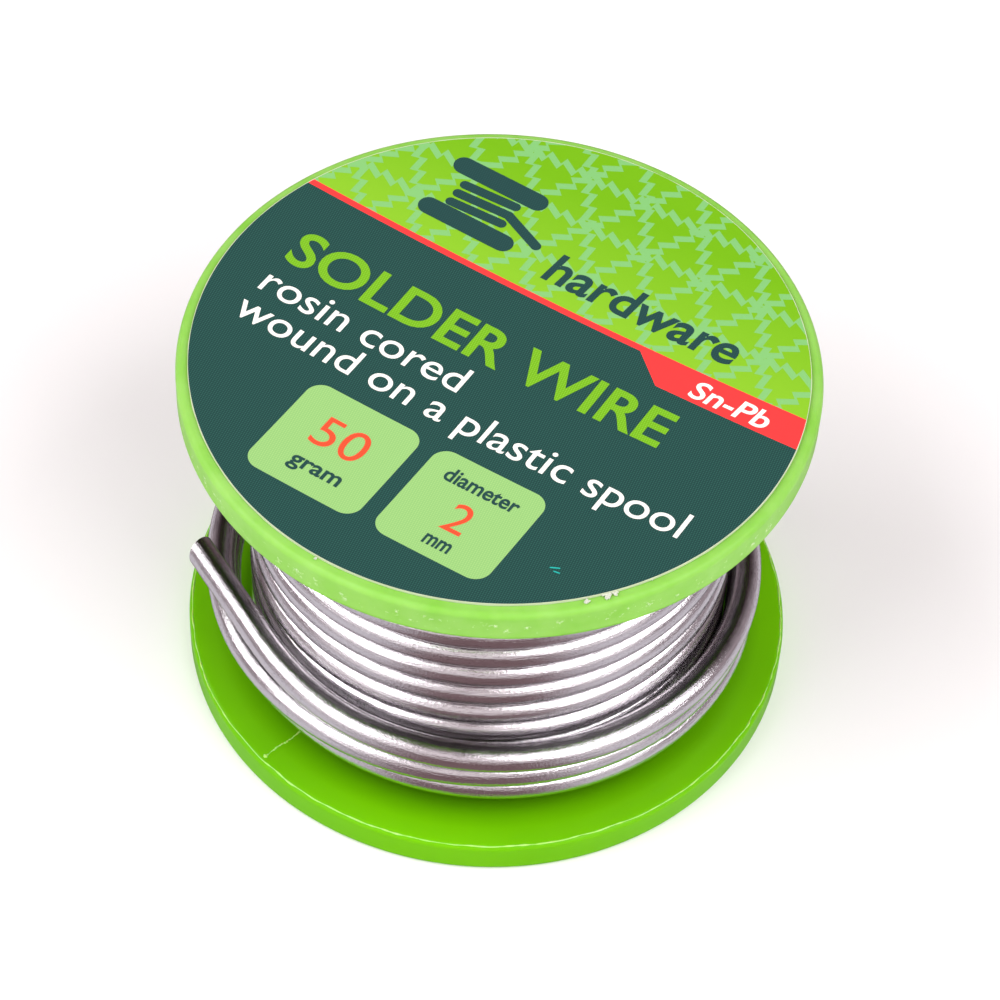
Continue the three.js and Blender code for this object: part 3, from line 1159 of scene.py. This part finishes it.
@dataclass(frozen=True)
class WireRoute:
    """The route of the wire's centre line, in turns from the place where it leaves the second layer.
    Angles are in degrees, seen from above, and the wire runs clockwise on its way outwards."""

    spool: SpoolSizes = field(default_factory=SpoolSizes)
    diameter: float = 2.0
    core_diameter: float = 0.82
    stations_per_turn: int = 24
    to_flange: float = 0.05
    to_hub: float = 0.15
    between_layers: float = 0.05
    between_turns: float = 0.03
    lift_off: float = 71.6
    top_climb: float = 1 / 12
    bottom_climb: float = 1 / 8
    climb_out_by: float = 0.72
    climb_up_from: float = 0.36
    first_rise: float = 1.2
    bend_at: float = 2.485
    straight_at: float = 2.521
    straight_length: float = 8.8
    rise_from: float = 2.3
    tail_rise: float = 0.45
    near: float = 1e-4
    looseness: tuple[tuple[float, float], ...] = (
        (0.125, 0),
        (0.47, 0),
        (0.62, 0.65),
        (0.8, 0.35),
        (1.1, 0),
        (1.345, 0.38),
        (1.47, 0.78),
        (1.55, 1),
        (1.62, 0.95),
        (1.87, 0.35),
        (2.05, 0.02),
        (2.22, 0.52),
        (2.43, 0.75),
        (2.521, 0.45),
    )

    @property
    def half(self) -> float:
        """The wire's radius."""
        return self.diameter / 2

    @property
    def lowest(self) -> float:
        """Height of the lowest turn."""
        return self.spool.flange_thickness + self.to_flange + self.half

    @property
    def highest(self) -> float:
        """Height of the highest turn."""
        return self.spool.height - self.spool.flange_thickness - self.to_flange - self.half

    @property
    def inner_radius(self) -> float:
        """Radius of the inner layer."""
        return self.spool.hub_radius + self.to_hub + self.half

    @property
    def second_radius(self) -> float:
        """Radius of the second layer."""
        return self.inner_radius + self.diameter + self.between_layers

    @property
    def outer_radius(self) -> float:
        """Radius of the outer turns where they lie close."""
        return self.second_radius + self.diameter + self.between_layers

    @property
    def pitch(self) -> float:
        """Least rise of a turn."""
        return self.diameter + self.between_turns

    @property
    def layer_turns(self) -> float:
        """Turns in a full layer: as many as fit between the flanges, in whole stations."""
        fit = (self.highest - self.lowest) / self.pitch * self.stations_per_turn
        return math.floor(fit) / self.stations_per_turn

    @property
    def start(self) -> float:
        """Where the wire starts, on the hub."""
        return -2 * self.layer_turns - self.top_climb

    @property
    def straight_radius(self) -> float:
        """Radius of the place where the free end runs off in a straight line."""
        return float(self.radius(np.array([self.straight_at]))[0])

    @property
    def end(self) -> float:
        """Where the wire ends. The straight end is laid off along the turn that it leaves."""
        return self.straight_at + self.straight_length / (FULL_TURN * self.straight_radius)

    def stand_off(self, turn: Array) -> Array:
        """How far the outer turns stand off, on a cubic through the points of looseness. Its slope at a
        point is the harmonic mean of the slopes on either side, and 0 at crests, dips and ends.

        Args:
            turn: Places, in turns.

        Returns:
            Distances.
        """
        x, y = np.array(self.looseness).T
        rise = np.diff(y) / np.diff(x)
        before, after = rise[:-1], rise[1:]
        total = np.where(before + after == 0, 1, before + after)
        inner = np.where(before * after > 0, 2 * before * after / total, 0)
        slope = np.concatenate([[0], inner, [0]])
        i = np.clip(np.searchsorted(x, turn) - 1, 0, len(x) - 2)
        width = x[i + 1] - x[i]
        t = np.clip((turn - x[i]) / width, 0, 1)
        left = y[i] * (1 + 2 * t) + slope[i] * width * t
        right = y[i + 1] * (3 - 2 * t) - slope[i + 1] * width * (1 - t)
        return left * (1 - t) ** 2 + right * t**2

    def radius(self, turn: Array) -> Array:
        """The centre line's distance from the axis.

        Args:
            turn: Places, in turns.

        Returns:
            Distances.
        """
        climb = smooth_step(turn, -self.layer_turns - self.top_climb, -self.layer_turns)
        inner = self.inner_radius + (self.second_radius - self.inner_radius) * climb
        out = smooth_step(turn, 0, self.climb_out_by * self.bottom_climb)
        outer = self.second_radius + (self.outer_radius - self.second_radius) * out + self.stand_off(turn)
        return np.where(turn < -self.layer_turns, inner, np.where(turn < 0, self.second_radius, outer))

    def height(self, turn: Array) -> Array:
        """The centre line's height.

        Args:
            turn: Places, in turns.

        Returns:
            Heights.
        """
        layer_pitch = (self.highest - self.lowest) / self.layer_turns
        inner = self.lowest + layer_pitch * np.minimum(turn - self.start, self.layer_turns)
        second = self.lowest - layer_pitch * turn
        step = self.first_rise * smooth_step(turn, self.climb_up_from * self.bottom_climb, self.bottom_climb)
        helix = self.pitch * np.maximum(turn - self.bottom_climb, 0)
        tail = self.tail_rise * smooth_step(turn, self.rise_from, self.end)
        outer = self.lowest + step + helix + tail
        return np.where(turn < -self.layer_turns, inner, np.where(turn < 0, second, outer))

    def points(self, turn: Array) -> Array:
        """The centre line: round the axis up to the straight end, and then along its tangent.

        Args:
            turn: Places, in turns.

        Returns:
            Points, (n, 3).
        """
        wound = np.minimum(turn, self.straight_at)
        angle = np.radians(self.lift_off - 360 * wound)
        radius = self.radius(wound)
        straight = (turn - wound) * FULL_TURN * self.straight_radius
        x = radius * np.cos(angle) + straight * np.sin(angle)
        y = radius * np.sin(angle) - straight * np.cos(angle)
        return np.stack([x, y, self.height(turn)], -1)

    def directions(self, turn: Array) -> Array:
        """The centre line's unit directions, from points a little before and after each place."""
        step = self.points(turn + self.near) - self.points(turn - self.near)
        return step / np.linalg.norm(step, axis=-1, keepdims=True)


@dataclass
class Winding:
    """The solder wire: two layers, the loose outer turns and the free end with its core."""

    route: WireRoute = field(default_factory=WireRoute)
    sides: int = 28
    per_turn: int = 120
    free_from: float = 2.05
    bend_half: float = 0.03
    cut_slant: float = 0.35
    cut_reach: float = 2.5
    cut_outward: float = 0.8
    cut_down: float = 0.6
    cut_edge: float = 0.06
    core_sides: int = 20
    core_stations: int = 20
    core_recess: float = 0.4
    core_sunk: float = 0.05
    core_gap: float = 0.01

    def stations(self, start: float, end: float) -> Array:
        """Evenly spaced places from start to end."""
        return np.linspace(start, end, max(8, round((end - start) * self.per_turn)) + 1)

    def tube(
        self, name: str, turn: Array, section: Array, sides: int, cut: Callable[[Array], Array] | None = None
    ) -> bpy.types.Object:
        """Sweeps a section along the route.

        Args:
            name: Name of the piece.
            turn: Its stations, in turns.
            section: The section's radius at each station.
            sides: Points in the section.
            cut: Optional function that moves the rings.

        Returns:
            The tube.
        """
        return sweep(name, self.route.points(turn), self.route.directions(turn), section, sides, cut)

    def build_layers(self, close: bpy.types.Material, loose: bpy.types.Material) -> None:
        """Makes the two full layers and the outer turns.

        Args:
            close: The solder of turns that lie close.
            loose: The solder of loose turns.
        """
        r = self.route
        layers = (
            ("solder_inner_layer", r.start, -r.layer_turns, close, "wire_inner_layer"),
            ("solder_second_layer", -r.layer_turns, 0.0, close, "wire_second_layer"),
            ("solder_outer_turns", 0.0, self.free_from, loose, "wire_outer_turns"),
        )
        for name, start, end, material, node in layers:
            turn = self.stations(start, end)
            layer = self.tube(name, turn, np.full(len(turn), r.half), self.sides)
            settle(layer, Body.SPOOL, Slot.WIRE, material, node)

    def cut_plane(self, rings: Array) -> Array:
        """Slants the cut: each point of the last rings slides along the wire by the slant times its
        offset outwards and down, fading over the rings before.

        Args:
            rings: The rings of the tube, (n, sides, 3).

        Returns:
            The rings with a slanted end.
        """
        r = self.route
        direction = r.directions(np.array([r.end]))[0]
        tip = r.points(np.array([r.end]))[0]
        outward = tip * FLAT / np.linalg.norm(tip * FLAT)
        offset = (rings - tip) @ (outward * self.cut_outward - UP * self.cut_down)
        fade = smooth_step((rings - tip) @ direction, -self.cut_reach * r.half, 0)
        return rings - direction * (self.cut_slant * (offset + r.half) * fade)[..., None]

    def build_free_end(self, material: bpy.types.Material, rosin: bpy.types.Material) -> None:
        """Makes the last turn with the free end, and its rosin core.

        Args:
            material: The solder.
            rosin: The core.
        """
        r = self.route
        turn = self.stations(self.free_from, r.end)
        section = np.full(len(turn), r.half)
        a_millimetre = 1 / (FULL_TURN * r.straight_radius)
        core = r.core_diameter / 2
        turn = np.concatenate([turn, [r.end, r.end, r.end - self.core_recess * a_millimetre]])
        section = np.concatenate([section, [r.half - self.cut_edge, core + self.core_gap, core + self.core_gap]])
        free = self.tube("solder_free_end", turn, section, self.sides, self.cut_plane)
        free.data.materials.clear()
        free.data.materials.append(material)
        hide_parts("wire_tail")
        start, end = r.points(np.array([r.bend_at - self.bend_half, r.bend_at + self.bend_half])) * MM
        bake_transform(free)
        LOG.info("%s: %d faces, bends", free.name, len(free.data.polygons))
        turn = np.linspace(r.straight_at, r.end - self.core_sunk * a_millimetre, self.core_stations)
        filling = self.tube("rosin_core_end", turn, np.full(len(turn), core), self.core_sides, self.cut_plane)
        settle(filling, Body.TAIL, Slot.ROSIN, rosin, "rosin_core")


# Studio


@dataclass(frozen=True)
class Softbox:
    """A rectangular soft light, aimed at the middle of the spool. Angles are in degrees, power in watts."""

    name: str
    azimuth: float
    elevation: float
    distance: float
    width: float
    height: float
    power: float


@dataclass
class Studio:
    """A pale floor, soft lights and the camera."""

    turn: float = 29.9
    camera_elevation: float = 50.53
    camera_roll: float = 3.332
    camera_place: tuple[float, float, float] = (0.508, -142.035, 186.13)
    lens: float = 118.0
    sensor: float = 36.0
    sight: tuple[float, float] = (0.01, 10.0)
    floor_half: float = 2000.0
    floor_drop: float = 0.02
    floor_colour: str = "#F7F7F7"
    floor_roughness: float = 0.9
    world_colour: str = "#7C6568"
    wall_colour: str = "#D8D4DA"
    wall_sides: Settings = (0.3, 0.62)
    wall_heights: Settings = (-0.24, -0.12, 1.0, 0.3)
    aim_height: float = 14.0
    lights: tuple[Softbox, ...] = (
        Softbox("left_softbox", -164, 47, 420, 440, 300, 1.62),
        Softbox("right_softbox", -34, 47, 420, 440, 300, 1.62),
        Softbox("front_card", -102, 27, 500, 580, 300, 0.36),
        Softbox("left_card", -140, 14, 480, 300, 260, 0.15),
        Softbox("right_card", -44, 14, 480, 300, 260, 0.15),
    )

    def turned(self, vector: Sequence[float]) -> Array:
        """Turns a vector about Z, from the camera's upright frame into the spool's.

        Args:
            vector: x to the right, y away and z up, as the camera stands.

        Returns:
            The vector in the spool's frame.
        """
        a = math.radians(self.turn)
        spin = np.array([[math.cos(a), -math.sin(a), 0], [math.sin(a), math.cos(a), 0], [0, 0, 1]])
        return spin @ np.array(vector)

    def place(self, thing: bpy.types.Object, right: Array, up: Array, back: Array, at: Array) -> None:
        """Places a camera or a light by its three axes.

        Args:
            thing: The object.
            right: Its own X.
            up: Its own Y.
            back: Its own Z, which points away from what it looks at.
            at: Its position, in metres.
        """
        thing.matrix_world = Matrix(np.vstack([np.column_stack([right, up, back, at]), [0, 0, 0, 1]]).tolist())

    def build_camera(self) -> None:
        """Makes the camera: level, tipped down by its elevation, then rolled about its view axis."""
        e, roll = math.radians(self.camera_elevation), math.radians(self.camera_roll)
        level = np.array([1, 0, 0])
        back = np.array([0, -math.cos(e), math.sin(e)])
        tipped = np.array([0, math.sin(e), math.cos(e)])
        right = math.cos(roll) * level + math.sin(roll) * tipped
        up = -math.sin(roll) * level + math.cos(roll) * tipped
        data = bpy.data.cameras.new("camera")
        data.lens, data.sensor_width = self.lens, self.sensor
        data.clip_start, data.clip_end = self.sight
        camera = show("camera", data)
        self.place(camera, *(self.turned(axis) for axis in (right, up, back)), self.turned(self.camera_place) * MM)
        bpy.context.scene.camera = camera

    def build_lights(self) -> None:
        """Makes the softboxes, each aimed at the middle of the spool, and the room: dim and warm in
        front and behind, and pale low down at both sides."""
        for box in self.lights:
            a, e = math.radians(box.azimuth), math.radians(box.elevation)
            back = self.turned((math.cos(a) * math.cos(e), math.sin(a) * math.cos(e), math.sin(e)))
            right = np.cross(UP, back)
            right /= np.linalg.norm(right)
            data = bpy.data.lights.new(box.name, "AREA")
            data.shape, data.size, data.size_y = "RECTANGLE", box.width * MM, box.height * MM
            data.energy = box.power
            at = (back * box.distance + UP * self.aim_height) * MM
            self.place(show(box.name, data), right, np.cross(back, right), back, at)
        world = bpy.data.worlds.new("room")
        tree = empty_tree(world)
        direction = add(tree, "TexCoord").outputs["Generated"]
        aside = add(tree, "VectorMath.DOT_PRODUCT", direction, tuple(self.turned((1, 0, 0))))
        side = add(tree, "MapRange", add(tree, "Math.ABSOLUTE", aside), *self.wall_sides)
        low = add(tree, "MapRange", add(tree, "SeparateXYZ", direction).outputs["Z"], *self.wall_heights)
        pale = add(tree, "Math.MULTIPLY", side, low)
        glow = add(tree, "Background", add(tree, "Mix.RGBA", pale, self.world_colour, self.wall_colour))
        add(tree, "OutputWorld", glow)
        bpy.context.scene.world = world

    def build_floor(self) -> None:
        """Makes the plain pale floor, just under the spool. It is left out of reflections, as a black flag
        in front would do, so the bright wire keeps its contrast."""
        h = self.floor_half * MM
        mesh = bpy.data.meshes.new("floor")
        corners = [(x, y, -self.floor_drop * MM) for x, y in ((-h, -h), (h, -h), (h, h), (-h, h))]
        mesh.from_pydata(corners, [], [(0, 1, 2, 3)])
        floor = show("floor", mesh)
        material = bpy.data.materials.new("pale_floor")
        tree = empty_tree(material)
        shader = add(tree, "BsdfPrincipled", Base_Color=self.floor_colour, Roughness=self.floor_roughness)
        add(tree, "OutputMaterial", shader)
        mesh.materials.append(material)
        floor.visible_glossy = False

    def grade(self) -> None:
        """Sets a plain display transform, so colours come out as the finishes state them."""
        bpy.context.scene.view_settings.view_transform = "Standard"
        bpy.context.scene.view_settings.look = "None"


# The whole

LINES = (
    (Words("print_heading", "SOLDER WIRE", -16.75, 12.15, -0.65, 3.2, 0.018), "lime"),
    (Words("print_first_line", "rosin cored", -16.6, -1.0, -3.72, 2.25, 0.002), "white"),
    (Words("print_second_line", "wound on a plastic spool", -16.7, 17.1, -6.5, 2.25, 0.002), "white"),
    (Words("print_weight", "50", -6.55, -2.85, -12.6, 2.6, 0.0), "red"),
    (Words("print_weight_unit", "gram", -6.5, -2.75, -14.85, 1.3, 0.02), "dark"),
    (Words("print_size_word", "diameter", 2.2, 7.6, -10.35, 1.25, 0.02), "dark"),
    (Words("print_size", "2", 4.25, 5.75, -13.85, 2.5, 0.0), "red"),
    (Words("print_size_unit", "mm", 4.0, 5.9, -15.5, 1.25, 0.02), "dark"),
    (Words("print_trade", "hardware", -1.9, 12.6, 7.9, 2.7, 0.02, 0.1), "dark"),
    (Words("print_alloy", "Sn-Pb", 11.5, 17.2, 4.3, 1.6, 0.016, 0.12), "white"),
)
PICTOGRAM = (
    (-11.5, 13.5, -5.6, 13.5, 1.5),
    (-11.5, 9.1, -5.6, 9.1, 1.5),
    (-10.5, 12.05, -6.6, 12.3, 0.72),
    (-10.5, 11.15, -6.6, 11.4, 0.72),
    (-10.5, 10.25, -6.6, 10.5, 0.72),
    (-6.6, 11.4, -3.6, 10.1, 0.72),
)
FLECK = ((11.8, -12.8, 12.3, -12.55, 0.1), (12.15, -12.95, 12.5, -12.9, 0.09))
INKS = {
    "lime": Ink("lime_ink", "#6CAC08", "#8CC840"),
    "white": Ink("unprinted_paper_white", "#FBFBF4", "#F1F3E8"),
    "red": Ink("red_ink", "#EE4A2E", "#F0603A"),
    "teal": Ink("teal_ink", "#1FB0A6", "#2CBEB2"),
    "dark": Ink("dark_ink", "#1A413F", "#25504D"),
}
BARE_PAPER = Ink("bare_paper", "#CFD3C4", "#B6BDAA")
# The loose turns get their own copy, whose painted groove shade is weaker and broader.
LOOSE_SOLDER = DrawnSolder("drawn_solder_of_loose_turns", groove_shade_half=0.38, groove_shade_fade=0.62, groove_shade_strength=0.88)


def main() -> None:
    """Builds the studio, the spool, the label and the wire round the frame."""
    logging.basicConfig(level=logging.INFO, format="%(name)s: %(message)s")
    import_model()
    studio = Studio()
    studio.build_camera()
    studio.build_floor()
    studio.build_lights()
    studio.grade()

    spool = Spool()
    spool.build_moulding(MouldedPolypropylene().build())
    spool.build_flash(ThinFlash().build())

    label = Label()
    label.build_paper(LabelPrint().build())
    inks = {name: ink.build() for name, ink in INKS.items()}
    for words, ink in LINES:
        label.print_words(words, inks[ink])
    label.build_crumbs(BARE_PAPER.build())
    label.print_bars("print_pictogram", PICTOGRAM, inks["dark"])
    label.print_bars("print_fleck", FLECK, inks["teal"])

    winding = Winding()
    loose = LOOSE_SOLDER.build()
    winding.build_layers(DrawnSolder().build(), loose)
    winding.build_free_end(loose, Rosin().build())


if __name__ == "__main__":
    main()
